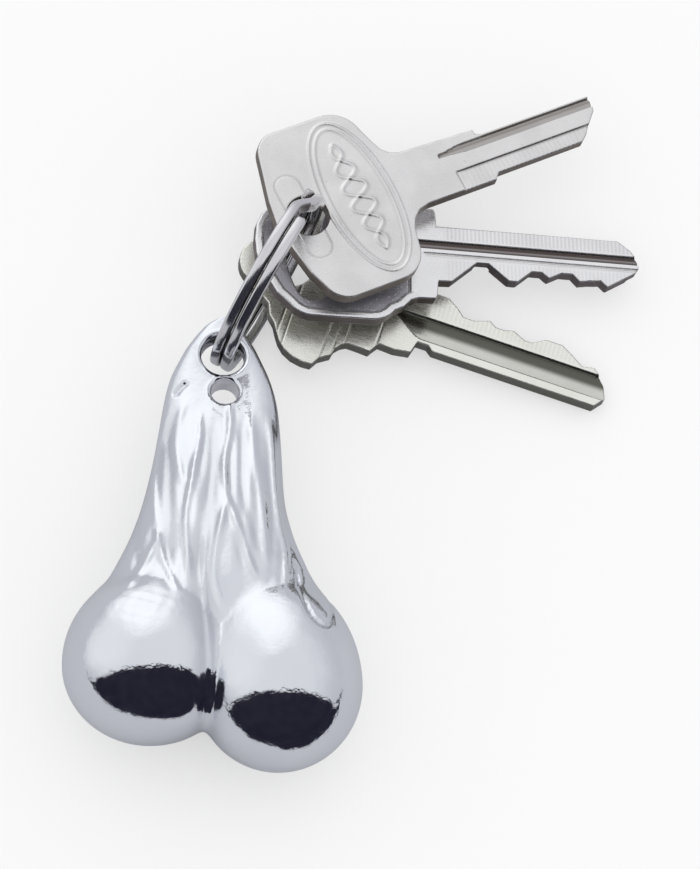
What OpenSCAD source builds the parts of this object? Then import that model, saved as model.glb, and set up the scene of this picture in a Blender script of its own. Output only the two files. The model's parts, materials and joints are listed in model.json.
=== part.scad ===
// Keychain: a two-lobed chrome pendant on a split ring with three keys.
// The pendant lies flat, the split ring stands on edge through its top hole,
// and the keys fan out to the right with their tips drooping.
// Millimetres, +Z up. Origin: middle of the footprint, on the table.

/* [Pendant] */
// diameter of the hole the split ring passes through
ring_hole_d = 5.8; // [5.6:0.1:6.2]
// diameter of the small spare hole below it
spare_hole_d = 3.6; // [3.0:0.1:4.0]
// distance from the ring hole down to the spare hole
spare_hole_drop = 5.65; // [5.5:0.05:6.0]
// half thickness of the left lobe
left_lobe_t = 10.4; // [9.5:0.1:10.5]
// half thickness of the right lobe
right_lobe_t = 10.6; // [9.5:0.1:10.6]

/* [Split ring] */
// radius to the middle of the wire
ring_r = 12.75; // [12.6:0.05:12.8]
// width of the flattened wire, seen along the ring's axis
wire_w = 1.8; // [1.5:0.1:1.9]
// thickness of one turn of the wire
wire_t = 1.5; // [1.2:0.1:1.5]
// air gap between the two turns
turn_gap = 0.1; // [0.05:0.05:0.2]

/* [Keys] */
// thickness of every key
key_t = 2.0; // [1.6:0.1:2.1]
// diameter of the round hole in the top key
emblem_hole_d = 6.0; // [5.6:0.1:6.4]
// diameter of the round hole in the bottom key
scalloped_hole_d = 7.6; // [7.4:0.1:8.0]
// width of the curved slot in the middle key's bow
slot_w = 4.8; // [4.7:0.1:5.0]
// depth of the long grooves milled in the blades
groove_depth = 0.6; // [0.3:0.1:0.7]
// depth of the sunk panel on the middle key's bow
panel_depth = 0.25; // [0.1:0.05:0.4]

/* [Hidden] */
$fn = 96;
// moves everything so that the origin sits under the middle of the footprint
shift = [-12.5, 18.49, -0.07];
// centre of the split ring
ring_c = [0, 0, 13.85];
// the ring's direction on the table and its lean from upright
ring_az = 59.3;
ring_lean = 3.8;
// centre of the pendant's ring hole, and the height of its middle plane
hole_c = [-6.4, -10.45];
mid_z = 10.62;
// hole centres of the keys
emblem_c = [5.99, 10.2, 12.6];
house_c = [5.64, 10.2, 8.68];
scalloped_c = [3.9, 7.2, 4.3];
// directions of the blades, and how far each key droops
emblem_az = 23.8;
house_az = -2.4;
scalloped_az = -19.3;
emblem_droop = 5.5;
house_droop = 5.5;
scalloped_droop = 3.6;

// points along an arc
function arc(c, r, a0, a1, n) =
    [for (i = [0:n]) c + r * [cos(a0 + (a1 - a0) * i / n), sin(a0 + (a1 - a0) * i / n)]];
// an outline shrunk about a point
function shrink(p, c, k) = [for (q = p) c + k * (q - c)];

// ---------------------------------------------------------------- pendant
// middle line of the neck, by height below the ring hole
function neck_x(y) = lookup(y, [[-46, -3.1], [-31, -2.9], [-22.3, -2.15], [-14, -1.1],
    [-7.1, -0.55], [-2.3, -0.5], [3.3, -0.1], [5.8, 0.3]]);
// half width of the neck
function neck_w(y) = lookup(y, [[-46, 14], [-39, 16.6], [-31, 12.9], [-27, 11], [-22.3, 9.6],
    [-14, 8.5], [-7.1, 7.75], [-3.9, 7.1], [-2.3, 6.5], [1.5, 4.7], [3.3, 3.5], [5, 2.2],
    [5.8, 0.3]]);
// half thickness of the neck
function neck_t(y) = lookup(y, [[-46, 4], [-39, 7], [-35, 7.8], [-27, 7.2], [-22.3, 6.2],
    [-18, 5], [-14, 3.8], [-9.4, 2.7], [-7.1, 2.3], [-3.9, 1.9], [1.5, 1.7], [5.8, 1.6]]);
// squareness of the neck's cross-section, flat at the tab and round lower down
function neck_p(y) = lookup(y, [[-30, 2], [-4, 5]]);
// squared half thickness of each swelling, negative outside it
function lobe(x, y, c, a, up, down, t) =
    let (b = y > c[1] ? up : down)
    t * t * (1 - pow((x - c[0]) / a, 2) - pow((y - c[1]) / b, 2));
function neck(x, y) =
    pow(neck_t(y), 2) * (1 - pow(abs((x - neck_x(y)) / neck_w(y)), neck_p(y)))
    - (y < -41 ? 0.8 * pow(y + 41, 2) : 0)
    - (y > 5.8 ? 1000 * (y - 5.8) : 0);
// the three swellings blended into one skin
blend = 9;
function skin(x, y) =
    let (l = lobe(x, y, [-11, -43.8], 11.5, 12.2, 10.4, left_lobe_t),
         r = lobe(x, y, [5.4, -46.8], 11, 14, 11.4, right_lobe_t),
         n = neck(x, y),
         m = max(l, r, n))
    m + blend * ln(exp((l - m) / blend) + exp((r - m) / blend) + exp((n - m) / blend));
// the outline, found along rays from a point between the lobes
seat = [-3, -40];
rays = 88;
rings = 11;
function ray_angle(i) =
    let (k = 2 * i / rays - 1)
    90 + 180 * sign(k) * pow(abs(k), 1.7);
function edge(a, lo = 0, hi = 60, n = 22) =
    n == 0 ? lo :
    let (m = (lo + hi) / 2)
    skin(seat[0] + m * cos(a), seat[1] + m * sin(a)) > 0 ? edge(a, m, hi, n - 1) : edge(a, lo, m, n - 1);
reach = [for (i = [0:rays - 1]) edge(ray_angle(i))];
function rim_point(i, j) =
    let (f = 1 - pow(1 - j / rings, 1.8), a = ray_angle(i))
    [seat[0] + f * reach[i] * cos(a), seat[1] + f * reach[i] * sin(a)];
function height(p) = sqrt(max(0.0001, skin(p[0], p[1])));
top_points = [for (j = [1:rings - 1]) for (i = [0:rays - 1])
    let (p = rim_point(i, j)) [p[0], p[1], height(p)]];
edge_points = [for (i = [0:rays - 1]) let (p = rim_point(i, rings)) [p[0], p[1], 0]];
low_points = [for (p = top_points) [p[0], p[1], -p[2]]];
n_top = len(top_points);
skin_points = concat(top_points, low_points, edge_points,
    [[seat[0], seat[1], height(seat)], [seat[0], seat[1], -height(seat)]]);
function next(i) = (i + 1) % rays;
function at(side, j, i) = j == rings ? 2 * n_top + i : side * n_top + (j - 1) * rays + i;
band_faces = [for (j = [1:rings - 1]) for (i = [0:rays - 1]) for (k = [0:3])
    k == 0 ? [at(0, j, i), at(0, j + 1, next(i)), at(0, j + 1, i)] :
    k == 1 ? [at(0, j, i), at(0, j, next(i)), at(0, j + 1, next(i))] :
    k == 2 ? [at(1, j, i), at(1, j + 1, i), at(1, j + 1, next(i))] :
    [at(1, j, i), at(1, j + 1, next(i)), at(1, j, next(i))]];
cap_faces = [for (i = [0:rays - 1]) for (k = [0:1])
    k == 0 ? [len(skin_points) - 2, at(0, 1, next(i)), at(0, 1, i)] :
    [len(skin_points) - 1, at(1, 1, i), at(1, 1, next(i))]];

module pendant() {
    color([0.80, 0.82, 0.86])
    translate(shift + [hole_c[0], hole_c[1], mid_z])
    difference() {
        polyhedron(skin_points, concat(band_faces, cap_faces), convexity = 6);
        translate([0, 0, -6])
        cylinder(d = ring_hole_d, h = 12);
        translate([0, -spare_hole_drop, -6])
        cylinder(d = spare_hole_d, h = 12);
    }
}

// ------------------------------------------------------------- split ring
// cross-section of the wire: a flat strip with eased edges
module wire(k = 1) {
    w = k * wire_w / 2;
    t = k * wire_t / 2;
    e = 0.35;
    polygon([[-w + e, -t], [w - e, -t], [w, -t + e], [w, t - e], [w - e, t], [-w + e, t],
        [-w, t - e], [-w, -t + e]]);
}
half_pitch = (wire_t + turn_gap) / 2;
// one turn, from angle a over the sweep s, at height z on the ring's axis
module turn(a, s, z) {
    rotate([0, 0, a])
    rotate_extrude(angle = s, $fn = 180)
    translate([ring_r, z])
    wire();
}
// a thin slice of wire, used for the bend between the turns
module slice(a, z) {
    rotate([0, 0, a])
    translate([ring_r, 0, z])
    rotate([90, 0, 0])
    linear_extrude(0.1, center = true)
    wire(0.99);
}
// the bend starts and ends at these angles
bend_from = 64.5;
bend_to = 45.5;
function bend_z(k) = half_pitch * (6 * k * k - 4 * k * k * k - 1);

module split_ring() {
    color([0.72, 0.72, 0.74])
    translate(shift + ring_c)
    rotate([0, 0, ring_az])
    rotate([90 + ring_lean, 0, 0]) {
        turn(bend_from - 0.5, 324.6, -half_pitch);
        turn(70 - 360, 335.9 + 0.1, half_pitch);
        for (i = [0:4])
        hull() {
            slice(bend_from + (bend_to - bend_from) * i / 5, bend_z(i / 5));
            slice(bend_from + (bend_to - bend_from) * (i + 1) / 5, bend_z((i + 1) / 5));
        }
    }
}

// ------------------------------------------------------------------- keys
module place(c, az, droop) {
    translate(shift + c)
    rotate([0, droop, 0])
    rotate([0, 0, az])
    children();
}
module plate(p) {
    translate([0, 0, -key_t / 2])
    linear_extrude(key_t)
    polygon(p);
}
// a long slot cut from the top face, or from the bottom face when side is -1
module groove(x0, x1, y0, y1, depth, side = 1) {
    z = side > 0 ? key_t / 2 - depth : -key_t / 2 - 1;
    translate([x0, y0, z])
    cube([x1 - x0, y1 - y0, depth + 1]);
}

// top key: an uncut blank with a broad rectangular bow
emblem_bow = concat([[-4.8, 0], [-4.2, 4], [-3.1, 8.2]], arc([0.9, 10.1], 3.4, 165, 90, 6),
    arc([8.5, 8.8], 4.7, 90, 8, 8), [[13.9, 7.2], [14.5, 5.7], [15.4, 4.8], [16.7, 4.35]]);
emblem_low = concat([[17, -4.5], [15.3, -4.9], [14.2, -5.8], [13.4, -7.2]],
    arc([8.2, -9], 4.65, -8, -90, 8), arc([0.9, -10.05], 3.6, -90, -165, 6),
    [[-3.6, -8.2], [-4.3, -4]]);
emblem_outline = concat(emblem_bow,
    [[28.4, 3.8], [28.6, 3], [29.5, 2.7], [47, 2.7], [47.4, 2], [46.9, 0.3],
     [45, -1.6], [44.2, -2.6], [43, -3.55], [29, -3.6], [28.5, -4.1], [28.2, -4.5]], emblem_low);
module emblem_key() {
    color([0.84, 0.82, 0.80])
    place(emblem_c, emblem_az, emblem_droop)
    difference() {
        plate(emblem_outline);
        translate([0, 0, -3])
        cylinder(d = emblem_hole_d, h = 6);
        groove(22, 50, 1, 2.4, groove_depth);
        groove(23, 50, -5, -1.4, 0.35);
        groove(22, 50, -2.6, -1.2, groove_depth, -1);
        // the oval line on the bow, as a shallow ring cut
        translate([8.1, 0, key_t / 2 - 0.15])
        difference() {
            linear_extrude(1)
            polygon([for (a = [0:6:354]) [5.3 * cos(a), 12.2 * sin(a)]]);
            translate([0, 0, -1])
            linear_extrude(3)
            polygon([for (a = [0:6:354]) [4.9 * cos(a), 11.8 * sin(a)]]);
        }
    }
}

// middle key: a cut house key with a sunk panel and a long slot in its bow
house_bow = concat([[-6.6, 0], [-6.4, 2.4], [-5.7, 3.9], [-3.2, 6.8]],
    arc([1.4, 6.5], 3.9, 140, 90, 4), arc([9.8, 6.6], 3.8, 90, 35, 4),
    [[14.2, 8.4], [15.2, 7.4], [16.4, 7], [18.9, 7], [19.2, 6.4]]);
house_low = concat([[19.2, -6.6], [18.9, -7.1], [16.5, -7.2], [15.3, -7.7], [14.3, -8.8]],
    arc([9.8, -7.2], 3.9, -35, -90, 4), arc([1.4, -7.2], 4, -90, -140, 4),
    [[-3.5, -8.1], [-5.8, -4.2], [-6.4, -2.2]]);
// the cut edge from tip to shoulder: distance along the blade, and depth of cut there
house_cuts = [[43.9, 1.3], [43, 2.2], [41.3, 2.05], [39.9, 1.8], [38.9, 2.9], [37.2, 2.9],
    [35.4, 1.95], [34.4, 2.8], [32.9, 2.8], [30.8, 1], [29.6, 1], [26.7, 3.5], [25, 3.5]];
house_outline = concat(house_bow,
    [[19.3, 4.3], [45.8, 4.3], [47.6, 2.9], [48.7, 1.4], [48.7, 0.2], [48.2, -0.6]],
    [for (c = house_cuts) [c[0], c[1] - 4.5]],
    [[21.3, -4.25], [19.4, -4.35]], house_low);
// the slot curves about a point on the key's axis; the ring's wire sits in it here
slot_r = 14;
slot_half = 27;
wire_in_slot = [0.17, 2.2];
module house_key() {
    color([0.80, 0.79, 0.77])
    place(house_c, house_az, house_droop)
    translate([-wire_in_slot[0], -wire_in_slot[1], 0])
    difference() {
        plate(house_outline);
        translate([slot_r, 0, -3])
        union() {
            for (a = [180 - slot_half, 180 + slot_half])
            rotate([0, 0, a])
            translate([slot_r, 0, 0])
            cylinder(d = slot_w, h = 6);
            rotate([0, 0, 180 - slot_half])
            rotate_extrude(angle = 2 * slot_half)
            translate([slot_r - slot_w / 2, 0])
            square([slot_w, 6]);
        }
        // sunk panel on the top face of the bow
        translate([0, 0, key_t / 2 - panel_depth])
        linear_extrude(1)
        polygon(concat(shrink([for (i = [0:13]) house_bow[i]], [4, 0], 0.87),
            shrink([for (i = [5:len(house_low) - 1]) house_low[i]], [4, 0], 0.87)));
        groove(17.5, 50, 0.65, 1.9, groove_depth);
        groove(17.5, 50, -0.25, 0.05, 0.3);
        groove(17.5, 50, -1.5, 0.1, groove_depth, -1);
    }
}

// bottom key: a cut key with a scalloped bow
scalloped_bow = concat(arc([-3.1, 0], 3.6, 180, 122, 4), [[-1.2, 5.2], [-0.9, 6.8], [0.5, 7.8]],
    arc([4.8, 8.3], 4, 165, 60, 8), [[8.6, 10.4], [9.1, 8.5]],
    arc([12.1, 5.3], 2.5, 115, 30, 5), arc([17.2, 3.7], 2.2, 120, 30, 5));
scalloped_blade = [[21.4, 4], [23.1, 3.9], [24.6, 2.9], [25.8, 1.8], [27.4, 1.8], [29.5, 2.6],
    [30.6, 1.9], [31.8, 1.9], [33.1, 2.3], [35, 1.4], [36, 1.4], [37.9, 2.6], [40.3, 2.6],
    [42, 1.6], [43.8, 0.4], [45.5, 0.8], [46.7, -0.3], [47.5, -1.3], [48.1, -3.3], [46.8, -5],
    [23, -5], [22.2, -4.3], [20.6, -4.3], [20.3, -5.4]];
scalloped_low = concat([[20.1, -6.2], [17.9, -6.6], [15.6, -6.5], [15, -7.4], [14.6, -8.1],
    [12.6, -8], [11.4, -8], [10.6, -8.5], [9.9, -9.4], [9.7, -10.5], [8.2, -11.6], [7.5, -12.9],
    [6.2, -13], [4.6, -12.7], [3.2, -12], [2.2, -11], [1.4, -9.7], [0.8, -8.6], [-0.2, -7.6],
    [-0.8, -6], [-1.8, -5.3], [-3, -5]], arc([-3.1, 0], 3.6, -115, -170, 4));
scalloped_outline = concat(scalloped_bow, scalloped_blade, scalloped_low);
// where the lines engraved across the bow lie
bow_lines = [1.6, 2.7, 8.3, 9.7, 11, 15.2];
module scalloped_key() {
    color([0.78, 0.78, 0.72])
    place(scalloped_c, scalloped_az, scalloped_droop)
    translate([0, -1.2, 0])
    difference() {
        plate(scalloped_outline);
        translate([0, 1.2, -3])
        cylinder(d = scalloped_hole_d, h = 6);
        groove(17, 50, -3.7, -0.1, groove_depth);
        groove(17, 50, 0.6, 1.6, groove_depth, -1);
        for (x = bow_lines)
        groove(x - 0.15, x + 0.15, -15, 15, 0.15);
    }
}

pendant();
split_ring();
emblem_key();
house_key();
scalloped_key();
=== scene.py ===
import bpy
import json
import math
from itertools import product
import numpy as np
from mathutils import Matrix, Vector

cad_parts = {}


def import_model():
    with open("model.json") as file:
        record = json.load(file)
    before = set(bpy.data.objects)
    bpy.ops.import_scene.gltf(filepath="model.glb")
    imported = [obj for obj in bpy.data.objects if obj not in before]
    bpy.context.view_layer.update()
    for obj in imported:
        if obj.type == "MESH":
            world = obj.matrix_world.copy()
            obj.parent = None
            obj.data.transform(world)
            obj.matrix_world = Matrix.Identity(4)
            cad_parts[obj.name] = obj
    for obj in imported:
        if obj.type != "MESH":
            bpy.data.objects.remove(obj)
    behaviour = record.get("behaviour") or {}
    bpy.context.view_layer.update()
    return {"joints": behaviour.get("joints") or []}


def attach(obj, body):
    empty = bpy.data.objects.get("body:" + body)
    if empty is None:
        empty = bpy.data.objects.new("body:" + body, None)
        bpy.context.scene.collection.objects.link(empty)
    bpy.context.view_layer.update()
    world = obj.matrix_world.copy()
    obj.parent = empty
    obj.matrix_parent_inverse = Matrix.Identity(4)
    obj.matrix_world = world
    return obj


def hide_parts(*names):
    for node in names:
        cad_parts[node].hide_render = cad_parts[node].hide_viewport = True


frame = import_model()

# Lengths are in millimetres and angles in degrees, as in part.scad, until make() and the
# camera turn them into metres. Bump depths and the floor are in metres, as Blender wants them.
MM = 0.001
TAU = 2 * math.pi
# the ring's hinge is in the middle of the pendant's hole, and each key's is in its own hole
HINGES = {joint["name"]: np.array(joint["pos_m"]) / MM for joint in frame["joints"]}
PENDANT_HOLE = HINGES["ring_swing"]
RING_CENTRE = PENDANT_HOLE + [6.4, 10.45, 3.23]  # as in part.scad


# ----------------------------------------------------------------- soft steps
def ramp(t):
    """A smooth step from 0 at 0 to 1 at 1."""
    t = np.clip(t, 0, 1)
    return t * t * (3 - 2 * t)


def after(t, start, length):
    """0 up to start, and 1 from a length beyond it."""
    return ramp((t - start) / length)


def before(t, end, length):
    """1 up to a length short of end, and 0 from end on."""
    return ramp((end - t) / length)


def band(t, low, high, soft):
    """1 between low and high, with soft shoulders."""
    return ramp((t - low) / soft + 0.5) * ramp((high - t) / soft + 0.5)


def ridge(distance, width):
    """A rounded ridge, 1 along its crest."""
    return np.exp(-((distance / width) ** 2))


# ------------------------------------------------------------- outlines and lines
def arc(centre, radius, start, end, n):
    t = np.radians(start + (end - start) * np.arange(n + 1) / n)
    return [(centre[0] + radius * math.cos(k), centre[1] + radius * math.sin(k)) for k in t]


def outline_distance(outline, x, y):
    """Distance to a closed outline, negative inside."""
    best = np.full(np.shape(x), 1e9)
    sign = np.ones(np.shape(x))
    for (x0, y0), (x1, y1) in zip(outline, outline[1:] + outline[:1]):
        ex, ey = x1 - x0, y1 - y0
        px, py = x - x0, y - y0
        t = np.clip((px * ex + py * ey) / (ex * ex + ey * ey), 0, 1)
        best = np.minimum(best, (px - t * ex) ** 2 + (py - t * ey) ** 2)
        up, down, left = y >= y0, y < y1, ex * py > ey * px
        sign = np.where((up & down & left) | (~up & ~down & ~left), -sign, sign)
    return sign * np.sqrt(best)


def path_distance(points, x, y):
    """Distance to an open line, and how far along it the nearest place is, from 0 to 1."""
    best = np.full(np.shape(x), 1e9)
    along = np.zeros(np.shape(x))
    lengths = [math.dist(a, b) for a, b in zip(points, points[1:])]
    done, whole = 0.0, sum(lengths)
    for (x0, y0), (x1, y1), length in zip(points, points[1:], lengths):
        px, py, ex, ey = x - x0, y - y0, x1 - x0, y1 - y0
        t = np.clip((px * ex + py * ey) / (length * length), 0, 1)
        d = (px - t * ex) ** 2 + (py - t * ey) ** 2
        nearer = d < best
        best = np.where(nearer, d, best)
        along = np.where(nearer, (done + t * length) / whole, along)
        done += length
    return np.sqrt(best), along


def curve(points, n=5):
    """A smooth line through points (Catmull-Rom), with n steps between neighbours."""
    p = [np.array(point, float) for point in points]
    p = [2 * p[0] - p[1]] + p + [2 * p[-1] - p[-2]]
    out = []
    for a, b, c, d in zip(p, p[1:], p[2:], p[3:]):
        for k in range(n):
            t = k / n
            out.append(
                0.5 * (2 * b + (c - a) * t + (2 * a - 5 * b + 4 * c - d) * t**2
                       + (3 * b - a - 3 * c + d) * t**3)
            )
    out.append(p[-2])
    return [tuple(point) for point in out]


def ellipse_distance(x, y, a, b):
    """Roughly the distance to an ellipse, negative inside."""
    k = np.sqrt((x / a) ** 2 + (y / b) ** 2) + 1e-6
    slope_there = np.sqrt((x / (a * a)) ** 2 + (y / (b * b)) ** 2) / k + 1e-6
    return (k - 1) / slope_there


# ------------------------------------------------- a mesh from a skin (surface nets)
# A plan gives named values for places x, y; a skin turns them and z into a distance,
# negative inside.
CORNERS = list(product((0, 1), repeat=3))
# the four cells round a grid edge along each axis
AROUND_EDGE = (
    ((0, -1, -1), (0, 0, -1), (0, 0, 0), (0, -1, 0)),
    ((-1, 0, -1), (-1, 0, 0), (0, 0, 0), (0, 0, -1)),
    ((-1, -1, 0), (0, -1, 0), (0, 0, 0), (-1, 0, 0)),
)
# how far apart the skin is sampled for its slope: to pull points onto it, and for normals
PULL_REACH, NORMAL_REACH = 0.004, 0.02


def sample(plan, skin, low, high, step):
    """The skin's value at every point of a grid."""
    x, y, z = (low[i] + step * np.arange(int((high[i] - low[i]) / step) + 2) for i in range(3))
    x, y = np.meshgrid(x, y, indexing="ij")
    flat = {key: value[:, :, None] for key, value in plan(x, y).items()}
    return skin(flat, z[None, None, :])


def crossed_cells(inside):
    """Which cells of the grid the surface passes through."""
    nx, ny, nz = (size - 1 for size in inside.shape)
    count = sum(
        inside[a : nx + a, b : ny + b, c : nz + c].astype(np.int8) for a, b, c in CORNERS
    )
    return (count > 0) & (count < len(CORNERS))


def cell_points(values, cells):
    """In each cell, the mean of the places where the surface crosses the cell's edges."""
    at = {c: values[cells[0] + c[0], cells[1] + c[1], cells[2] + c[2]] for c in CORNERS}
    total, hits = np.zeros((cells.shape[1], 3)), np.zeros(cells.shape[1])
    for start in CORNERS:
        for axis in range(3):
            if start[axis]:
                continue
            end = tuple(start[i] + (i == axis) for i in range(3))
            crossed = (at[start] < 0) != (at[end] < 0)
            t = np.where(crossed, at[start] / np.where(crossed, at[start] - at[end], 1), 0)
            edge = (np.array(end) - np.array(start))[None]
            total += crossed[:, None] * (np.array(start, float)[None] + t[:, None] * edge)
            hits += crossed
    return cells.T + total / hits[:, None]


def edge_quads(inside, index):
    """A quad round every grid edge that the surface crosses, facing out of the solid."""
    quads = []
    for axis in range(3):
        start, end = [slice(1, -1)] * 3, [slice(1, -1)] * 3
        start[axis], end[axis] = slice(0, -1), slice(1, None)
        starts_inside = inside[tuple(start)]
        edges = np.array(np.nonzero(starts_inside != inside[tuple(end)])).T
        keep = starts_inside[tuple(edges.T)]
        edges = edges + [0 if i == axis else 1 for i in range(3)]
        quad = np.stack([index[tuple((edges + o).T)] for o in AROUND_EDGE[axis]], 1)
        quad[~keep] = quad[~keep][:, ::-1]
        quads.append(quad)
    return np.concatenate(quads)


def slope(plan, skin, points, reach, both=False):
    """The skin's value and gradient at points; with both, x and y are looked at both ways."""
    x, y, z = points.T
    here = plan(x, y)
    value = skin(here, z)
    gradient = np.empty_like(points)
    gradient[:, 2] = (skin(here, z + reach) - skin(here, z - reach)) / (2 * reach)
    for axis, (dx, dy) in enumerate(((reach, 0), (0, reach))):
        far = skin(plan(x + dx, y + dy), z)
        near = skin(plan(x - dx, y - dy), z) if both else value
        gradient[:, axis] = (far - near) / (2 * reach if both else reach)
    return value, gradient


def surface(plan, skin, low, high, step):
    """Points, quads and normals of the surface where the skin is zero."""
    values = sample(plan, skin, low, high, step)
    inside = values < 0
    crossed = crossed_cells(inside)
    cells = np.array(np.nonzero(crossed))
    index = np.full(crossed.shape, -1, int)
    index[crossed] = np.arange(cells.shape[1])
    points = cell_points(values, cells) * step + np.array(low)
    for _ in range(2):
        value, gradient = slope(plan, skin, points, PULL_REACH)
        move = value[:, None] * gradient / np.maximum((gradient**2).sum(1), 1e-6)[:, None]
        length = np.linalg.norm(move, axis=1, keepdims=True)
        # no point moves more than half a step at a time
        points = points - move * np.minimum(1, 0.5 * step / np.maximum(length, 1e-9))
    gradient = slope(plan, skin, points, NORMAL_REACH, both=True)[1]
    normals = gradient / np.maximum(np.linalg.norm(gradient, axis=1), 1e-9)[:, None]
    return points, edge_quads(inside, index), normals


def make(name, body, node, material, move, points, faces, normals, layers, plan=None):
    """A smooth-shaded piece, moved from its own frame into the object's by a matrix.

    The material reads the layers of numbers, and the place on the piece as plan."""
    matrix = np.array(move)
    turn, offset = matrix[:3, :3].T, matrix[:3, 3]
    placed = (points @ turn + offset) * MM
    mesh = bpy.data.meshes.new(name)
    mesh.from_pydata(placed.tolist(), [], [list(map(int, face)) for face in faces])
    mesh.update()
    mesh.shade_smooth()
    if normals is not None:
        mesh.normals_split_custom_set_from_vertices((normals @ turn).tolist())
    layer = mesh.attributes.new("plan", "FLOAT_VECTOR", "POINT")
    plan = points if plan is None else plan
    layer.data.foreach_set("vector", plan.astype(np.float32).ravel())
    for key, values in layers.items():
        layer = mesh.attributes.new(key, "FLOAT", "POINT")
        layer.data.foreach_set("value", np.asarray(values, np.float32))
    mesh.materials.append(material)
    piece = bpy.data.objects.new(name, mesh)
    bpy.context.scene.collection.objects.link(piece)
    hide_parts(node)
    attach(piece, body)


# ------------------------------------------------------------------ materials
class Nodes:
    """A short way to write a node tree."""

    def __init__(self, tree):
        self.tree = tree
        self.tree.nodes.clear()

    def add(self, kind, inputs=None, **settings):
        node = self.tree.nodes.new(kind)
        for key, value in settings.items():
            setattr(node, key, value)
        for key, value in (inputs or {}).items():
            if isinstance(value, bpy.types.NodeSocket):
                self.tree.links.new(value, node.inputs[key])
            else:
                node.inputs[key].default_value = value
        return node

    def math(self, operation, a, b):
        return self.add("ShaderNodeMath", {0: a, 1: b}, operation=operation).outputs[0]

    def plus(self, value, mask, amount):
        """The value, raised by an amount where the mask is 1."""
        return self.math("ADD", value, self.math("MULTIPLY", mask, amount))

    def waver(self, value, noise, amount):
        """The value, pushed up and down by a noise that is 0.5 on average."""
        return self.plus(value, self.math("SUBTRACT", noise, 0.5), amount)

    def span(self, value, from_a, from_b, to_a, to_b):
        """A smooth step that takes one range to another."""
        return self.add(
            "ShaderNodeMapRange",
            {"Value": value, "From Min": from_a, "From Max": from_b, "To Min": to_a, "To Max": to_b},
            interpolation_type="SMOOTHSTEP",
        ).outputs[0]

    def mix(self, mask, a, b):
        """Colour a where the mask is 0, and b where it is 1."""
        return self.add("ShaderNodeMix", {0: mask, 6: a, 7: b}, data_type="RGBA").outputs[2]

    def noise(self, place, scale, detail, rough=0.5, stretch=None):
        if stretch:
            mapping = self.add("ShaderNodeMapping", {"Vector": place, "Scale": stretch})
            place = mapping.outputs[0]
        return self.add(
            "ShaderNodeTexNoise",
            {"Vector": place, "Scale": scale, "Detail": detail, "Roughness": rough},
        ).outputs[0]

    def place(self):
        """The place on the piece, in millimetres."""
        return self.add("ShaderNodeAttribute", attribute_name="plan").outputs["Vector"]

    def layer(self, name):
        return self.add("ShaderNodeAttribute", attribute_name=name).outputs["Fac"]

    def bump(self, height, strength, depth, under=None):
        """Relief from a height; depth is in metres, and under is a coarser relief below it."""
        inputs = {"Strength": strength, "Distance": depth, "Height": height}
        if under:
            inputs["Normal"] = under
        return self.add("ShaderNodeBump", inputs).outputs[0]

    def metal(self, color, rough, relief):
        """Ends the tree in a metal surface."""
        surface_node = self.add(
            "ShaderNodeBsdfPrincipled",
            {"Base Color": color, "Metallic": 1.0, "Roughness": rough, "Normal": relief},
        )
        self.add("ShaderNodeOutputMaterial", {"Surface": surface_node.outputs[0]})


def new_material(name):
    material = bpy.data.materials.new(name)
    material.use_nodes = True
    return material, Nodes(material.node_tree)


def rgb(r, g, b):
    return (r, g, b, 1.0)


def chrome():
    """Slightly wavy bright plating, with painted shade in the hollows and a wall painted pale round
    the spare hole.
    """
    material, n = new_material("bright_chrome")
    place, painted_shade, painted_pale = n.place(), n.layer("painted_shade"), n.layer("painted_pale")
    cloud = n.noise(place, scale=0.12, detail=3)
    color = n.mix(cloud, rgb(0.80, 0.825, 0.87), rgb(0.90, 0.915, 0.945))
    # painted shade: dark on the ring hole's wall, along the tab's right edge and in the folds'
    # creases
    color = n.mix(painted_shade, color, rgb(0.10, 0.10, 0.13))
    # painted light: the spare hole's wall is painted near white
    color = n.mix(painted_pale, color, rgb(0.98, 0.98, 0.99))
    haze = n.noise(place, scale=0.9, detail=5, rough=0.6)
    rough = n.span(haze, 0.3, 0.7, 0.04, 0.10)
    rough = n.plus(n.plus(rough, painted_shade, 0.12), painted_pale, 0.45)
    wave = n.bump(n.noise(place, scale=0.45, detail=4, rough=0.55), 0.35, 0.00022)
    relief = n.bump(n.noise(place, scale=5.0, detail=4, rough=0.6), 0.10, 0.00002, wave)
    n.metal(color, rough, relief)
    return material


def milling(n, place, scale):
    """Cross-wise tool marks on the lands of a blade."""
    wave = n.add(
        "ShaderNodeTexWave",
        {"Vector": place, "Scale": scale, "Distortion": 0.4, "Detail": 2.0},
        bands_direction="X",
    )
    return wave.outputs["Fac"]


def stipple(n, place):
    """Small round dots, 1 in the middle of each."""
    cells = n.add("ShaderNodeTexVoronoi", {"Vector": place, "Scale": 2.3, "Randomness": 0.35})
    return n.span(cells.outputs["Distance"], 0.1, 0.55, 1.0, 0.0)


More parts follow.
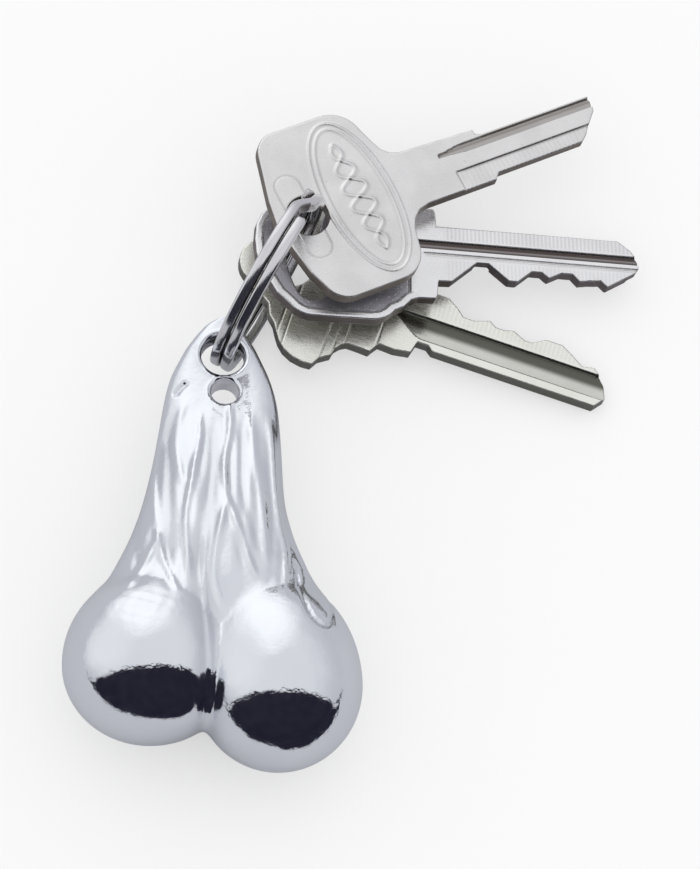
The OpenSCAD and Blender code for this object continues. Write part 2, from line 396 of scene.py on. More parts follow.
def key_metal(name, light, dark, dirt_and_shade, rough, grain, dotted=False, ticks=None):
    """Cloudy nickel, brushed along grain, with dirt spots, and painted shade on its sides and in its
    grooves and cut lines.

    dotted stipples the sunk panel, and ticks is the scale of the tool marks on the lands."""
    material, n = new_material(name)
    place, side, panel, land = n.place(), n.layer("side"), n.layer("panel"), n.layer("land")
    cloud = n.noise(place, scale=0.16, detail=4)
    streak = n.noise(place, scale=1.0, detail=5, rough=0.65, stretch=grain)
    spots = n.noise(place, scale=1.7, detail=6, rough=0.7)
    color = n.mix(n.span(cloud, 0.35, 0.65, 0, 1), light, dark)
    color = n.mix(n.span(streak, 0.35, 0.75, 0, 0.35), color, dark)
    color = n.mix(n.span(spots, 0.62, 0.75, 0, 0.30), color, dirt_and_shade)
    # painted shade from the plan: grooves, cut lines and lines beside raised ones are darkened
    color = n.mix(n.layer("dirt_and_shade"), color, dirt_and_shade)
    # painted shade: the plate's side walls are darkened nearly to the dark colour
    color = n.mix(n.math("MULTIPLY", side, 0.90), color, dirt_and_shade)
    shine = n.plus(n.span(streak, 0.3, 0.7, rough - 0.05, rough + 0.09), side, 0.16)
    height = n.math("MULTIPLY", streak, 0.7)
    if ticks:
        wave = milling(n, place, ticks)
        height = n.plus(height, n.math("MULTIPLY", wave, 0.45), land)
        color = n.mix(n.math("MULTIPLY", n.math("MULTIPLY", wave, land), 0.16), color, dirt_and_shade)
    if dotted:
        dot = n.math("MULTIPLY", stipple(n, place), panel)
        height = n.plus(height, dot, 2.6)
        color = n.mix(n.math("MULTIPLY", panel, 0.75), color, rgb(0.36, 0.35, 0.40))
        # painted highlight: each stipple dot is near white in its middle
        color = n.mix(n.math("MULTIPLY", dot, 0.80), color, rgb(0.95, 0.95, 0.96))
        shine = n.plus(shine, panel, 0.12)
    n.metal(color, shine, n.bump(height, 0.35, 0.00005))
    return material


def spring_steel():
    """Drawn wire, scratched along its length, with a grey cut end, and painted shade where the two
    turns meet.
    """
    material, n = new_material("spring_steel")
    place = n.place()
    lines = n.noise(place, scale=1.0, detail=4, rough=0.6, stretch=(0.06, 9.0, 9.0))
    cloud = n.noise(place, scale=0.5, detail=4, rough=0.6, stretch=(0.3, 1.0, 1.0))
    color = n.mix(cloud, rgb(0.70, 0.69, 0.70), rgb(0.86, 0.85, 0.86))
    color = n.mix(n.math("MULTIPLY", n.layer("cut"), 0.6), color, rgb(0.40, 0.38, 0.36))
    # painted shade between the two turns
    color = n.mix(n.math("MULTIPLY", n.layer("shade_between_turns"), 0.9), color, rgb(0.10, 0.085, 0.09))
    n.metal(color, n.span(lines, 0.3, 0.7, 0.09, 0.22), n.bump(lines, 0.3, 0.00003))
    return material


# -------------------------------------------------------------------- pendant
# Its own frame has its origin in the middle of the ring hole, with y up the tab.
RING_HOLE_R, SPARE_HOLE_R, SPARE_HOLE_DROP = 2.9, 1.8, 5.65
# radii of the crests of the two holes' raised rims, and the height of the ring hole's
RING_RIM_R, SPARE_RIM_R, RIM_HEIGHT = 3.5, 2.3, 0.10
NECK_FOOT, NECK_TOP = -41, 5.8
PENDANT_LOW, PENDANT_HIGH, PENDANT_STEP = (-24, -60.5, -11.6), (18, 7.5, 11.6), 0.35
# y, middle line, half width, half thickness
NECK = np.array([
    (-46, -3.10, 14.0, 4.0), (-39, -3.05, 16.6, 7.0), (-35, -3.0, 14.75, 7.8),
    (-31, -2.9, 12.9, 7.5), (-27, -2.57, 11.0, 7.2), (-22.3, -2.15, 9.6, 6.2),
    (-18, -1.6, 8.95, 5.0), (-14, -1.1, 8.5, 3.8), (-9.4, -0.73, 8.0, 2.7),
    (-7.1, -0.55, 7.75, 2.3), (-3.9, -0.52, 7.1, 1.9), (-2.3, -0.5, 6.5, 1.8),
    (1.5, -0.25, 4.7, 1.7), (3.3, -0.1, 3.5, 1.7), (5.0, 0.15, 2.2, 1.63), (5.8, 0.3, 0.3, 1.6),
])
# centre, half width, reach above and below the centre, half thickness
LEFT_LOBE = (-11, -43.8, 11.5, 12.2, 10.4, 10.4)
RIGHT_LOBE = (5.4, -46.8, 11, 14, 11.4, 10.6)
# A fold is a ridge less a lower and wider one, so that the skin sinks beside its crest; these
# are the lower one's height and width in parts of the fold's.
SINK, SINK_WIDTH = 0.45, 2.1
# the part of its length over which each end of a fold fades out
FOLD_FADE = 0.18
# (line, half width, height); where the height is negative it is a hollow, which is one plain
# ridge downwards, and so 1 + SINK times as deep as its height says
FOLDS = [
    ([(-8.8, -9.5), (-9.7, -14.4), (-10.2, -19.4), (-10.2, -24.2), (-10.0, -28.5)], 0.55, 0.30),
    ([(-10.1, -26.5), (-10.2, -28.8), (-12.1, -32.3), (-14.5, -36.2)], 0.60, 0.28),
    ([(-10.1, -26.5), (-9.9, -28.8), (-8.9, -33.3), (-7.5, -37.2)], 0.50, 0.24),
    ([(-3.4, -7.5), (-3.8, -13.3), (-4.9, -18.3), (-6.1, -24.1), (-6.4, -27.8), (-6.3, -31.3),
      (-6.4, -36.0)], 0.48, 0.34),
    ([(-5.3, -6.6), (-6.7, -11.1), (-7.1, -14.5), (-6.5, -19.1), (-6.0, -22)], 0.60, 0.20),
    ([(0.7, -6.8), (0.2, -12.3), (-0.7, -17.4), (-0.8, -23.4)], 0.50, 0.36),
    ([(-0.8, -21.5), (-1.0, -24.0), (-2.2, -28.4), (-3.0, -33.7), (-2.5, -36.9), (-1.3, -40.2)],
     0.50, 0.30),
    ([(-0.8, -21.5), (-0.3, -24.4), (0.7, -27.9), (1.5, -31.4), (2.8, -35.3)], 0.50, 0.26),
    ([(3.2, -8.0), (3.3, -14.8), (3.8, -23.0), (4.1, -29.3), (4.1, -34.7)], 0.60, 0.20),
    ([(5.7, -7.5), (6.0, -14.3), (6.0, -19.5), (6.4, -26.0), (6.8, -30.5), (6.2, -37.5)],
     0.55, 0.32),
    ([(-7.4, -8.4), (-8.2, -14.2), (-8.3, -19.9), (-8.0, -27.5), (-9.0, -34)], 1.00, -0.28),
    ([(-2.0, -8.8), (-2.3, -17.3), (-3.6, -24.7), (-4.6, -31), (-4.4, -36)], 0.95, -0.26),
    ([(1.8, -9.0), (1.6, -15.3), (1.5, -21.3), (2.4, -26.9), (3.0, -31)], 0.80, -0.20),
    ([(4.7, -9.0), (4.8, -16.0), (5.1, -24.0), (5.3, -32.0)], 0.75, -0.16),
    # the line of a closed loop beside the right lobe, and a short dent beside the spare hole
    ([(8.1, -30.1), (10.7, -31.8), (12.4, -34.4), (12.3, -39.0), (11.5, -41.5), (10.0, -41.3),
      (8.8, -39.0), (8.1, -34.0), (8.1, -30.5)], 0.35, -0.22),
    ([(-6.9, -6.3), (-6.0, -5.1), (-4.9, -4.2)], 0.42, -0.22),
]
# the cleft between the lobes, and the thin raised line along its bottom
CLEFT_DEPTH, CLEFT_WIDTH, CLEFT_FADE = 0.45, 1.6, 0.3
LINE_HEIGHT, LINE_WIDTH = 0.22, 0.45
CLEFT = [(-3.6, -27), (-4.2, -33), (-4.2, -38), (-3.9, -43), (-3.9, -48), (-4.2, -53)]


def smooth_neck():
    """NECK at close steps of y with its corners eased, more so below the tab."""
    step, reach = 0.05, 100
    # y runs well past the pendant at both ends
    foot, head = -66, 12
    narrow, wide = 0.3, 1.6
    y = np.arange(foot, head, step)
    columns = [y]
    for column in (1, 2, 3):
        raw = np.interp(y, NECK[:, 0], NECK[:, column])
        eased = []
        for width in (narrow, wide):
            k = np.exp(-((np.arange(-reach, reach + 1) * step / width) ** 2) / 2)
            eased.append(np.convolve(np.pad(raw, reach, "edge"), k / k.sum(), "valid"))
        below = before(y, 1, 6)
        columns.append(eased[0] * (1 - below) + eased[1] * below)
    return columns


SMOOTH_NECK = smooth_neck()


def lobe(x, y, shape):
    cx, cy, half_width, up, down, thick = shape
    reach = np.where(y > cy, up, down)
    return thick * thick * (1 - ((x - cx) / half_width) ** 2 - ((y - cy) / reach) ** 2)


def body_height(x, y):
    """Squared half thickness of the pendant without its folds, negative outside it."""
    middle, wide, thick = (np.interp(y, SMOOTH_NECK[0], SMOOTH_NECK[i]) for i in (1, 2, 3))
    # the neck's section is round low down and squarer at the tab
    power = np.interp(y, [-30, -4], [2, 5])
    neck = thick * thick * (1 - np.abs((x - middle) / wide) ** power)
    neck = neck - np.where(y < NECK_FOOT, 0.8 * (y - NECK_FOOT) ** 2, 0)
    neck = neck - np.where(y > NECK_TOP, 1e3 * (y - NECK_TOP), 0)
    left, right = lobe(x, y, LEFT_LOBE), lobe(x, y, RIGHT_LOBE)
    # the three run together softly, the more so where they are thick
    most = np.maximum(np.maximum(left, right), neck)
    k = 9 + 11 * after(most, 15, 60)
    parts = np.exp((left - most) / k) + np.exp((right - most) / k) + np.exp((neck - most) / k)
    return most + k * np.log(parts)


def fold_height(x, y):
    """How far the folds stand out of the pendant's body."""
    total = np.zeros(np.shape(x))
    for line, width, height in FOLDS:
        off, along = path_distance(curve(line), x, y)
        fade = after(along, 0, FOLD_FADE) * before(along, 1, FOLD_FADE)
        side = SINK * ridge(off, SINK_WIDTH * width) if height > 0 else 0
        total = total + height * fade * ((1 + SINK) * ridge(off, width) - side)
    off, along = path_distance(curve(CLEFT), x, y)
    fade = after(along, 0, CLEFT_FADE)
    total = total - CLEFT_DEPTH * fade * ridge(off, CLEFT_WIDTH)
    total = total + LINE_HEIGHT * fade * ridge(off, LINE_WIDTH)
    # a patch of soft lumps where the left of the neck meets its lobe
    patch_x, patch_y = -11.8, -38.6
    patch = np.exp(-(((x - patch_x) / 3.4) ** 2) - ((y - patch_y) / 2.0) ** 2)
    total = total + 0.06 * patch * np.sin(2.3 * x + 1.1 * y) * np.sin(2.6 * y - 0.9 * x)
    # a slow drape across the neck, so that no stretch of it is flat
    drape = 0.09 * np.sin(1.9 * x + 0.09 * y) + 0.05 * np.sin(3.3 * x - 0.24 * y + 1.0)
    return total + before(y, -6, 8) * after(y, -38, 10) * drape


def pendant_plan(x, y):
    body, folds = body_height(x, y), fold_height(x, y)
    ring, spare = np.hypot(x, y), np.hypot(x, y + SPARE_HOLE_DROP)
    rim = RIM_HEIGHT * (ridge(ring - RING_RIM_R, 0.35) + 0.6 * ridge(spare - SPARE_RIM_R, 0.3))
    # squared heights grow by twice the height times what is added to it
    grow = 2 * np.sqrt(np.maximum(body, 0) + 0.02)
    return {
        "front": body + grow * (folds + rim), "back": body + grow * (0.6 * folds + rim),
        "ring": ring, "spare": spare, "folds": folds,
    }


def pendant_skin(plan, z):
    """Compares squared heights, scaled to be a distance, and cuts the two holes."""
    height = np.where(z > 0, plan["front"], plan["back"])
    # keeps the distance finite near the middle plane
    least = 6.0
    body = (z * z - height) / (2 * np.sqrt(z * z + least))
    hole = np.maximum(RING_HOLE_R - plan["ring"], SPARE_HOLE_R - plan["spare"])
    soft = 0.22
    return np.maximum(body, hole) + soft * np.log1p(np.exp(-np.abs(body - hole) / soft))


def build_pendant():
    points, faces, normals = surface(
        pendant_plan, pendant_skin, PENDANT_LOW, PENDANT_HIGH, PENDANT_STEP
    )
    x, y = points[:, 0], points[:, 1]
    plan = pendant_plan(x, y)
    # painted shade on the ring hole's wall, along the tab's right edge and in the folds' hollows
    wall = ridge(np.maximum(plan["ring"] - RING_HOLE_R, 0), 0.14)
    edge = after(normals[:, 0], 0.62, 0.25) * after(y, -15, 6) * before(y, 4, 4)
    crease = np.clip(-plan["folds"] * 0.35, 0, 0.2)
    painted_shade = np.maximum(np.maximum(0.85 * wall, 0.65 * edge), crease)
    # the spare hole's wall is painted pale and made rougher: painted light, so the hole reads as a
    # flat bright disc
    painted_pale = ridge(np.maximum(plan["spare"] - SPARE_HOLE_R, 0), 0.12)
    make(
        "pendant_casting", "pendant", "pendant", chrome(),
        Matrix.Translation(Vector(PENDANT_HOLE)), points, faces, normals,
        {"painted_shade": painted_shade, "painted_pale": painted_pale},
    )


# ----------------------------------------------------------------- split ring
# Its own frame has its origin in the ring's centre, with z along its axis.
RING_R, WIRE_W, WIRE_T, TURN_GAP = 12.75, 1.8, 1.5, 0.1
# the ring's direction on the table, and how far it leans from upright
RING_DIRECTION, RING_LEAN = 59.3, 3.8
# the wire starts on the low turn, bends over to the high one, and ends there
WIRE_START, BEND_START, BEND_END, WIRE_END = 28.6, -295.5, -314.5, -650.0
WIRE_STEPS, SECTION_STEPS = 760, 28
# the grinding wheel eases both ends of the wire down to a part of its size, over a length
TIP_SIZE, TIP_LENGTH = 0.72, 0.5
# the wire's section is a rounded rectangle: 1 would be an ellipse, and 0 a sharp rectangle
ROUNDNESS = 0.55


def build_ring():
    angle = np.linspace(WIRE_START, WIRE_END, WIRE_STEPS)
    bend = np.clip((BEND_START - angle) / (BEND_START - BEND_END), 0, 1)
    height = (WIRE_T + TURN_GAP) / 2 * (2 * ramp(bend) - 1)
    to_start, to_end = np.abs(angle - WIRE_START), np.abs(angle - WIRE_END)
    to_tip = np.minimum(to_start, to_end) * math.pi / 180 * RING_R
    size = TIP_SIZE + (1 - TIP_SIZE) * ramp(to_tip / TIP_LENGTH)
    s = np.linspace(0, TAU, SECTION_STEPS, endpoint=False)
    across = np.sign(np.cos(s)) * np.abs(np.cos(s)) ** ROUNDNESS * WIRE_W / 2
    along_axis = np.sign(np.sin(s)) * np.abs(np.sin(s)) ** ROUNDNESS * WIRE_T / 2
    turned = np.radians(angle)
    radius = RING_R + np.outer(size, across)
    x, y = radius * np.cos(turned)[:, None], radius * np.sin(turned)[:, None]
    z = height[:, None] + np.outer(size, along_axis)
    points = np.stack([x, y, z], 2).reshape(-1, 3)
    m = SECTION_STEPS
    faces = [
        (i * m + j, i * m + (j + 1) % m, (i + 1) * m + (j + 1) % m, (i + 1) * m + j)
        for i in range(WIRE_STEPS - 1)
        for j in range(m)
    ]
    faces += [tuple(range(m))[::-1], tuple(range((WIRE_STEPS - 1) * m, WIRE_STEPS * m))]
    # the place along the wire and round its section
    length = np.repeat(-turned * RING_R, m)
    plan = np.stack([length, np.tile(across, WIRE_STEPS), np.tile(along_axis, WIRE_STEPS)], 1)
    # the ground ends, and painted shade where the two turns face each other
    cut = np.repeat(ridge(to_tip, 0.25), m)
    facing = -np.outer(np.sign(height), along_axis) / (WIRE_T / 2)
    shade_between_turns = after(facing, 0.55, 0.4).ravel()
    move = (
        Matrix.Translation(Vector(RING_CENTRE))
        @ Matrix.Rotation(math.radians(RING_DIRECTION), 4, "Z")
        @ Matrix.Rotation(math.radians(90 + RING_LEAN), 4, "X")
    )
    make(
        "split_ring_wire", "ring", "split_ring", spring_steel(), move,
        points, faces, None, {"cut": cut, "shade_between_turns": shade_between_turns}, plan,
    )


# ----------------------------------------------------------------------- keys
# A key's own frame has x along the blade and z through the plate, 0 at half its thickness.
# the grid's step, and how far it reaches above and below the middle
KEY_STEP, KEY_REACH_Z = 0.17, 1.35
# height of a plain face above the middle, and depth of the groove in the underside
FACE, UNDER_GROOVE = 1, 0.6


def plate_skin(easing):
    """A plate between the plan's low and top, with its edges eased by a radius."""

    def skin(plan, z):
        out_xy = plan["outline"] + easing
        out_z = np.maximum(z - plan["top"], plan["low"] - z) + easing
        outside = np.hypot(np.maximum(out_xy, 0), np.maximum(out_z, 0))
        return outside + np.minimum(np.maximum(out_xy, out_z), 0) - easing

    return skin


def plate_plan(outline, top, under, dirt_and_shade, land, panel=None):
    """The values that a key's skin and metal need at each place."""
    panel = np.zeros(np.shape(outline)) if panel is None else panel
    return {
        "outline": outline, "top": top, "low": -FACE + UNDER_GROOVE * under,
        "panel": panel, "land": land, "dirt_and_shade": np.clip(dirt_and_shade, 0, 1),
    }


def build_key(name, body, node, material, plan, easing, low, high, direction, droop, pivot):
    """A key, with its pivot on the hinge named after its body."""
    points, faces, normals = surface(
        plan, plate_skin(easing), (*low, -KEY_REACH_Z), (*high, KEY_REACH_Z), KEY_STEP
    )
    here = plan(points[:, 0], points[:, 1])
    flat, on_top = np.abs(normals[:, 2]), points[:, 2] > 0
    # the plate's walls, which the metal darkens as painted shade
    side = before(flat, 0.75, 0.5) * after(here["outline"], -0.5, 0.3)
    # on the underside, painted shade grows with the depth of its groove
    dirt_and_shade = np.where(on_top, here["dirt_and_shade"], np.clip((FACE + here["low"]) / 0.8, 0, 1))
    panel = here["panel"] * after(flat, 0.6, 0.3) * on_top
    move = (
        Matrix.Translation(Vector(HINGES[body + "_swing"]))
        @ Matrix.Rotation(math.radians(droop), 4, "Y")
        @ Matrix.Rotation(math.radians(direction), 4, "Z")
        @ Matrix.Translation(Vector((-pivot[0], -pivot[1], 0)))
    )
    make(
        name, body, node, material, move, points, faces, normals,
        {"side": side, "dirt_and_shade": dirt_and_shade, "panel": panel, "land": here["land"] * on_top},
    )


# top key: an uncut blank with an oval on its bow
EMBLEM_HOLE_R = 3.0
OVAL_X = 8.1
# half width, half length and height of the oval's two raised lines
OVAL_LINES = ((5.25, 12.15, 0.15), (4.35, 11.2, 0.13))
# the braid inside it: wavelength, half width in the middle, where it stops, and where its
# width would come to nothing
BRAID_WAVE, BRAID_WIDTH, BRAID_END, BRAID_POINT = 6.0, 1.9, 9.0, 9.75
EMBLEM = (
    [(-4.8, 0), (-4.2, 4), (-3.1, 8.2)] + arc((0.9, 10.1), 3.4, 165, 90, 8)
    + arc((8.5, 8.8), 4.7, 90, 8, 10) + [(13.9, 7.2), (14.5, 5.7), (15.4, 4.8), (16.7, 4.35)]
    + [(28.4, 3.8), (28.6, 3), (29.5, 2.7), (47, 2.7), (47.4, 2), (46.9, 0.3), (45, -1.6)]
    + [(44.2, -2.6), (43, -3.55), (29, -3.6), (28.5, -4.1), (28.2, -4.5), (17, -4.5)]
    + [(15.3, -4.9), (14.2, -5.8), (13.4, -7.2)] + arc((8.2, -9), 4.65, -8, -90, 10)
    + arc((0.9, -10.05), 3.6, -90, -165, 8) + [(-3.6, -8.2), (-4.3, -4)]
)


def emblem_bow(x, y):
    """Height and painted shade of the bow's oval, of a plain braid in place of any mark, and of a
    loop.
    """
    rise, dirt_and_shade = np.ones(np.shape(x)), np.zeros(np.shape(x))
    u, v = x - OVAL_X, y
    for half_width, half_length, height in OVAL_LINES:
        off = ellipse_distance(u, v, half_width, half_length)
        rise = rise + height * ridge(off, 0.19)
        # painted shadow along the inner side of each raised line
        dirt_and_shade = dirt_and_shade + 0.16 * ridge(off + 0.34, 0.14)
    # the braid is two waves that cross every half wavelength
    swing = BRAID_WIDTH * np.cos(math.pi * v / (2 * BRAID_POINT))
    inside = before(np.abs(v), BRAID_END, 0.6)
    for sign in (1, -1):
        wave = sign * swing * np.sin(TAU * v / BRAID_WAVE)
        lean = sign * swing * TAU / BRAID_WAVE * np.cos(TAU * v / BRAID_WAVE)
        off = (u - wave) / np.sqrt(1 + lean**2)
        rise = rise + 0.16 * inside * ridge(off, 0.24)
        # painted shadow beside each strand
        dirt_and_shade = dirt_and_shade + 0.16 * inside * ridge(off - 0.42, 0.16)
    # an engraved line round the hole, the shape of a running track, with painted shade in it
    loop_x, straight_half, bend_r = -0.75, 4.8, 1.9
    loop = np.hypot(x - loop_x, np.maximum(np.abs(y) - straight_half, 0)) - bend_r
    rise = rise - 0.07 * ridge(loop, 0.13)
    return rise, dirt_and_shade + 0.22 * ridge(loop, 0.16)


def emblem_plan(x, y):
    outline = np.maximum(outline_distance(EMBLEM, x, y), EMBLEM_HOLE_R - np.hypot(x, y))
    top, dirt_and_shade = emblem_bow(x, y)
    groove_start, groove_depth, ledge_start, ledge_depth = 21.6, 0.6, 22.8, 0.35
    # the groove widens over its first few millimetres
    lower_wall = 1.35 - 0.35 * after(x, 22, 5)
    upper_wall = 1.9 + 0.5 * after(x, groove_start, 4.5)
    groove = band(y, lower_wall, upper_wall, 0.16) * after(x, groove_start, 0.5)
    ledge = ramp((-1.4 - y) / 0.16 + 0.5) * after(x, ledge_start, 0.5)
    top = top - groove_depth * groove - ledge_depth * ledge
    # tool marks across the ledge
    mark_depth, mark_pitch = 0.03, 0.72
    top = top - mark_depth * ledge * (0.5 + 0.5 * np.sin(TAU * x / mark_pitch))
    # painted shade in the groove, darker along its upper wall, and a painted shadow line where the
    # ledge steps down
    dirt_and_shade = dirt_and_shade + groove * (0.50 + 0.28 * ridge(y - 1.95, 0.16))
    dirt_and_shade = dirt_and_shade + 0.55 * ridge(y + 1.5, 0.16) * after(x, 23, 2)
    under = band(y, -2.6, -1.2, 0.2) * after(x, 22, 2)
    return plate_plan(outline, top, under, dirt_and_shade, ledge)


# middle key: a cut house key with a sunk panel and a curved slot in its bow
SLOT_R, SLOT_HALF_ANGLE, SLOT_W = 14, 27, 4.8
HOUSE = (
    [(-6.6, 0), (-6.4, 2.4), (-5.7, 3.9), (-3.2, 6.8)] + arc((1.4, 6.5), 3.9, 140, 90, 6)
    + arc((9.8, 6.6), 3.8, 90, 35, 6) + [(14.2, 8.4), (15.2, 7.4), (16.4, 7), (18.9, 7)]
    + [(19.2, 6.4), (19.3, 4.3), (45.8, 4.3), (47.6, 2.9), (48.7, 1.4), (48.7, 0.2)]
    + [(48.2, -0.6), (43.9, -3.2), (43, -2.3), (41.3, -2.45), (39.9, -2.7), (38.9, -1.6)]
    + [(37.2, -1.6), (35.4, -2.55), (34.4, -1.7), (32.9, -1.7), (30.8, -3.5), (29.6, -3.5)]
    + [(26.7, -1), (25, -1), (21.3, -4.25), (19.4, -4.35), (19.2, -6.6), (18.9, -7.1)]
    + [(16.5, -7.2), (15.3, -7.7), (14.3, -8.8)] + arc((9.8, -7.2), 3.9, -35, -90, 6)
    + arc((1.4, -7.2), 4, -90, -140, 6) + [(-3.5, -8.1), (-5.8, -4.2), (-6.4, -2.2)]
)


def house_plan(x, y):
    edge = outline_distance(HOUSE, x, y)
    # the slot curves about a point on the key's axis
    limit = math.radians(SLOT_HALF_ANGLE)
    turn = np.clip(np.arctan2(y, SLOT_R - x), -limit, limit)
    slot_x, slot_y = SLOT_R - SLOT_R * np.cos(turn), SLOT_R * np.sin(turn)
    slot = np.hypot(x - slot_x, y - slot_y) - SLOT_W / 2
    # the bow's sunk panel lies inside a raised rim
    rim_width, panel_depth, rim_height, groove_depth, fine_depth = 1.15, 0.25, 0.06, 0.6, 0.2
    panel = ramp((-edge - rim_width) / 0.22 + 0.5) * before(x, 15.4, 0.3)
    rim = band(-edge, 0.15, 1.0, 0.3) * before(x, 16.5, 0.5)
    # the blade's groove, and a fine line below it
    groove = band(y, 0.7, 1.95, 0.18) * after(x, 16.3, 0.6)
    fine = band(y, -0.28, 0.02, 0.14) * after(x, 17, 1.0)
    top = 1 - panel_depth * panel + rim_height * rim
    top = top - groove_depth * groove - fine_depth * fine
    # the groove is darkened as painted shade, a little lighter along its middle; the fine line and a
    # line below it get painted shade too
    dirt_and_shade = groove * (0.97 - 0.30 * ridge(y - 1.3, 0.12)) + 0.30 * fine
    dirt_and_shade = dirt_and_shade + 0.25 * ridge(y + 0.55, 0.10) * after(x, 17, 1)
    under = band(y, -1.2, 0.1, 0.2) * after(x, 17, 1.5)
    blade = after(x, 20, 1)
    land = after(y, 2.2, 0.2) * blade + 0.5 * before(y, -0.8, 0.2) * blade
    return plate_plan(np.maximum(edge, -slot), top, under, dirt_and_shade, land, panel)


# bottom key: a cut key with a scalloped bow
SCALLOPED_HOLE_R, SCALLOPED_HOLE_Y = 3.8, 1.2
# where the lines engraved across the bow lie
BOW_LINES = (1.6, 2.7, 8.3, 9.7, 11.0, 15.2)
SCALLOPED = (
    arc((-3.1, 0), 3.6, 180, 122, 6) + [(-1.2, 5.2), (-0.9, 6.8), (0.5, 7.8)]
    + arc((4.8, 8.3), 4, 165, 60, 10) + [(8.6, 10.4), (9.1, 8.5)]
    + arc((12.1, 5.3), 2.5, 115, 30, 7) + arc((17.2, 3.7), 2.2, 120, 30, 7)
    + [(21.4, 4), (23.1, 3.9), (24.6, 2.9), (25.8, 1.8), (27.4, 1.8), (29.5, 2.6), (30.6, 1.9)]
    + [(31.8, 1.9), (33.1, 2.3), (35, 1.4), (36, 1.4), (37.9, 2.6), (40.3, 2.6), (42, 1.6)]
    + [(43.8, 0.4), (45.5, 0.8), (46.7, -0.3), (47.5, -1.3), (48.1, -3.3), (46.8, -5), (23, -5)]
    + [(22.2, -4.3), (20.6, -4.3), (20.3, -5.4), (20.1, -6.2), (17.9, -6.6), (15.6, -6.5)]
    + [(15, -7.4), (14.6, -8.1), (12.6, -8), (11.4, -8), (10.6, -8.5), (9.9, -9.4), (9.7, -10.5)]
    + [(8.2, -11.6), (7.5, -12.9), (6.2, -13), (4.6, -12.7), (3.2, -12), (2.2, -11), (1.4, -9.7)]
    + [(0.8, -8.6), (-0.2, -7.6), (-0.8, -6), (-1.8, -5.3), (-3, -5)]
    + arc((-3.1, 0), 3.6, -115, -170, 4)
)


def scalloped_plan(x, y):
    hole = SCALLOPED_HOLE_R - np.hypot(x, y - SCALLOPED_HOLE_Y)
    outline = np.maximum(outline_distance(SCALLOPED, x, y), hole)
    # the groove widens downwards from where the blade starts
    lower_wall = -0.9 - 2.8 * after(x, 15.6, 5.5)
    groove = band(y, lower_wall, -0.1, 0.18) * after(x, 15.8, 0.5)
    # it is deepest along its upper wall, and darkest there as painted shade
    top = 1 - groove * (0.25 + 0.40 * after(y, -3.6, 3.0))
    dirt_and_shade = groove * (0.30 + 0.66 * after(y, -2.5, 1.1))
    # the bow's lines are cut a little aslant
    bow, line_depth, slant = before(x, 17, 1), 0.10, 0.02
    for line in BOW_LINES:
        off = x - line - slant * (y + 8)
        top = top - line_depth * ridge(off, 0.12) * bow
        # painted shade in the bow's cut lines
        dirt_and_shade = dirt_and_shade + 0.55 * ridge(off, 0.13) * bow
    under = band(y, 0.6, 1.6, 0.2) * after(x, 17, 1.5)
    land = 0.5 * after(y, 0.3, 0.2) * after(x, 20, 1)
    return plate_plan(outline, top, under, dirt_and_shade, land)


# --------------------------------------------------- camera, floor and surroundings
def build_camera():
    """Looks from beyond the pendant's foot, about 25 degrees off straight down."""
    turn, rise, roll = (math.radians(angle) for angle in (16.63, 65.2, 14.7))
    distance, to_right, downwards = 423, 11.22, 21.07
    cos_rise = math.cos(rise)
    back = Vector((-math.sin(turn) * cos_rise, -math.cos(turn) * cos_rise, math.sin(rise)))
    level = Vector((math.cos(turn), -math.sin(turn), 0))
    right = level * math.cos(roll) + back.cross(level) * math.sin(roll)
    up = back.cross(right)
    eye = Vector(RING_CENTRE) + to_right * right - downwards * up + distance * back
    lens = bpy.data.cameras.new("camera")
    lens.sensor_width = 36
    lens.lens = 128.4
    lens.clip_start, lens.clip_end = 0.01, 20
    camera = bpy.data.objects.new("camera", lens)
    rows = [(right[i], up[i], back[i], eye[i] * MM) for i in range(3)]
    camera.matrix_world = Matrix(rows + [(0, 0, 0, 1)])
    bpy.context.scene.collection.objects.link(camera)
    bpy.context.scene.camera = camera


def in_a_mirror(n):
    """1 for what the metal mirrors, and 0 for what the camera sees by itself."""
    return n.add("ShaderNodeLightPath").outputs["Is Glossy Ray"]


def pale_floor():
    """Nearly white to the camera, and a grey table with a dark front to the metal's mirror."""
    material, n = new_material("pale_floor")
    spot = n.add("ShaderNodeTexCoord").outputs["Object"]
    tone = n.mix(n.noise(spot, 30.0, 2), rgb(0.93, 0.93, 0.93), rgb(0.95, 0.95, 0.95))
    matt = n.add("ShaderNodeBsdfDiffuse", {"Color": tone})
    glow = n.add("ShaderNodeEmission", {"Strength": 1.0})
    white = n.add("ShaderNodeMixShader", {0: 0.50, 1: glow.outputs[0], 2: matt.outputs[0]})
    left_right, front_back, _ = n.add("ShaderNodeSeparateXYZ", {0: spot}).outputs
    # the dark part's edge is ragged, and lies farther from the pendant on the left
    edge_y, edge_soft, left_from, left_to, left_step = -0.087, 0.003, -0.006, -0.030, 0.055
    edge = n.waver(front_back, n.noise(spot, 60.0, 4), 0.02)
    edge = n.math("ADD", edge, n.span(left_right, left_to, left_from, left_step, 0))
    dark = n.span(edge, edge_y - edge_soft, edge_y, 1, 0)
    table = n.mix(dark, rgb(0.56, 0.565, 0.60), rgb(0.016, 0.016, 0.028))
    mirrored = n.add("ShaderNodeBsdfDiffuse", {"Color": table})
    both = n.add(
        "ShaderNodeMixShader", {0: in_a_mirror(n), 1: white.outputs[0], 2: mirrored.outputs[0]}
    )
    n.add("ShaderNodeOutputMaterial", {"Surface": both.outputs[0]})
    return material


def build_floor():
    half = 2.5
    corners = [(-half, -half, 0), (half, -half, 0), (half, half, 0), (-half, half, 0)]
    mesh = bpy.data.meshes.new("floor")
    mesh.from_pydata(corners, [], [(0, 1, 2, 3)])
    mesh.materials.append(pale_floor())
    floor = bpy.data.objects.new("floor", mesh)
    bpy.context.scene.collection.objects.link(floor)


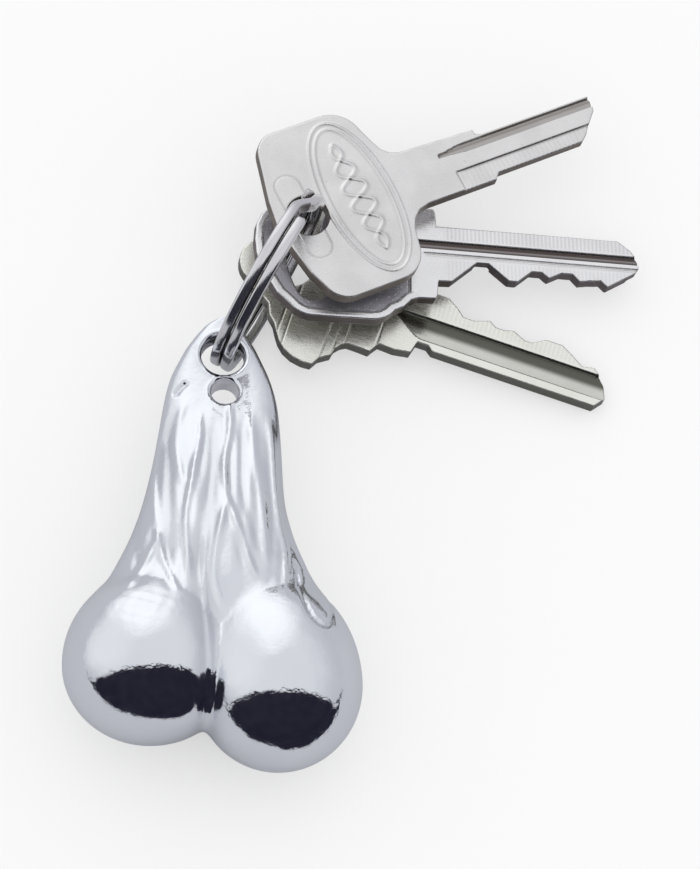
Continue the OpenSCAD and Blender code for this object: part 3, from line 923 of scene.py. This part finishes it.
def softbox(n, sky, way, cloud, towards, inner, outer, color):
    """A soft patch of light round one direction; inner and outer are its edges in degrees."""
    aim = Vector(towards).normalized()
    dot = n.add("ShaderNodeVectorMath", {0: way, 1: tuple(aim)}, operation="DOT_PRODUCT")
    near = n.plus(dot.outputs["Value"], cloud, 0.25)
    cos_outer, cos_inner = math.cos(math.radians(outer)), math.cos(math.radians(inner))
    return n.mix(n.span(near, cos_outer, cos_inner, 0, 1), sky, color)


def build_world():
    """White to the camera; the metal mirrors a graded sky, two soft lights and a dark front."""
    world = bpy.data.worlds.new("studio")
    bpy.context.scene.world = world
    world.use_nodes = True
    n = Nodes(world.node_tree)
    way = n.add("ShaderNodeTexCoord").outputs["Generated"]
    _, front_back, upwards = n.add("ShaderNodeSeparateXYZ", {0: way}).outputs
    cloud = n.math("MULTIPLY", n.math("SUBTRACT", n.noise(way, 2.2, 3), 0.5), 0.22)
    height = n.span(n.math("ADD", upwards, cloud), 0.1, 0.85, 0, 1)
    sky = n.mix(height, rgb(0.55, 0.555, 0.595), rgb(0.75, 0.76, 0.79))
    sky = softbox(n, sky, way, cloud, (-0.18, 0.83, 0.53), 4, 40, rgb(1.10, 1.11, 1.13))
    sky = softbox(n, sky, way, cloud, (-0.80, 0.25, 0.52), 4, 42, rgb(0.84, 0.85, 0.87))
    # the dark front's edge is ragged too
    edge = n.waver(front_back, n.noise(way, 6.0, 2), 0.05)
    sky = n.mix(n.span(edge, -0.355, -0.325, 1, 0), sky, rgb(0.014, 0.014, 0.026))
    sky = n.mix(in_a_mirror(n), rgb(1, 1, 1), sky)
    background = n.add("ShaderNodeBackground", {"Color": sky, "Strength": 1.0})
    n.add("ShaderNodeOutputWorld", {"Surface": background.outputs[0]})


# ------------------------------------------------------------------- the keychain
build_pendant()
build_ring()
build_key(
    "emblem_key_blank", body="top_key", node="emblem_key",
    material=key_metal(
        "satin_nickel", light=rgb(0.87, 0.855, 0.84), dark=rgb(0.785, 0.77, 0.755),
        dirt_and_shade=rgb(0.17, 0.14, 0.11), rough=0.28, grain=(0.5, 7.0, 1.0),
    ),
    plan=emblem_plan, easing=0.26, low=(-6, -15), high=(49, 15),
    direction=23.8, droop=5.5, pivot=(0, 0),
)
build_key(
    "house_key_cut", body="middle_key", node="house_key",
    material=key_metal(
        "house_nickel", light=rgb(0.98, 0.97, 0.97), dark=rgb(0.90, 0.89, 0.89),
        dirt_and_shade=rgb(0.085, 0.06, 0.055), rough=0.24, grain=(0.5, 6.0, 1.0), dotted=True, ticks=0.55,
    ),
    plan=house_plan, easing=0.16, low=(-8, -12), high=(50, 12),
    direction=-2.4, droop=5.5, pivot=(0.17, 2.2),
)
build_key(
    "scalloped_key_cut", body="bottom_key", node="scalloped_key",
    material=key_metal(
        "nickel_silver", light=rgb(0.99, 0.985, 0.91), dark=rgb(0.93, 0.925, 0.84),
        dirt_and_shade=rgb(0.10, 0.10, 0.08), rough=0.26, grain=(0.6, 6.0, 1.0), ticks=0.5,
    ),
    plan=scalloped_plan, easing=0.14, low=(-8, -14), high=(50, 14),
    direction=-19.3, droop=3.6, pivot=(0, SCALLOPED_HOLE_Y),
)
build_camera()
build_floor()
build_world()
bpy.context.scene.view_settings.view_transform = "Standard"
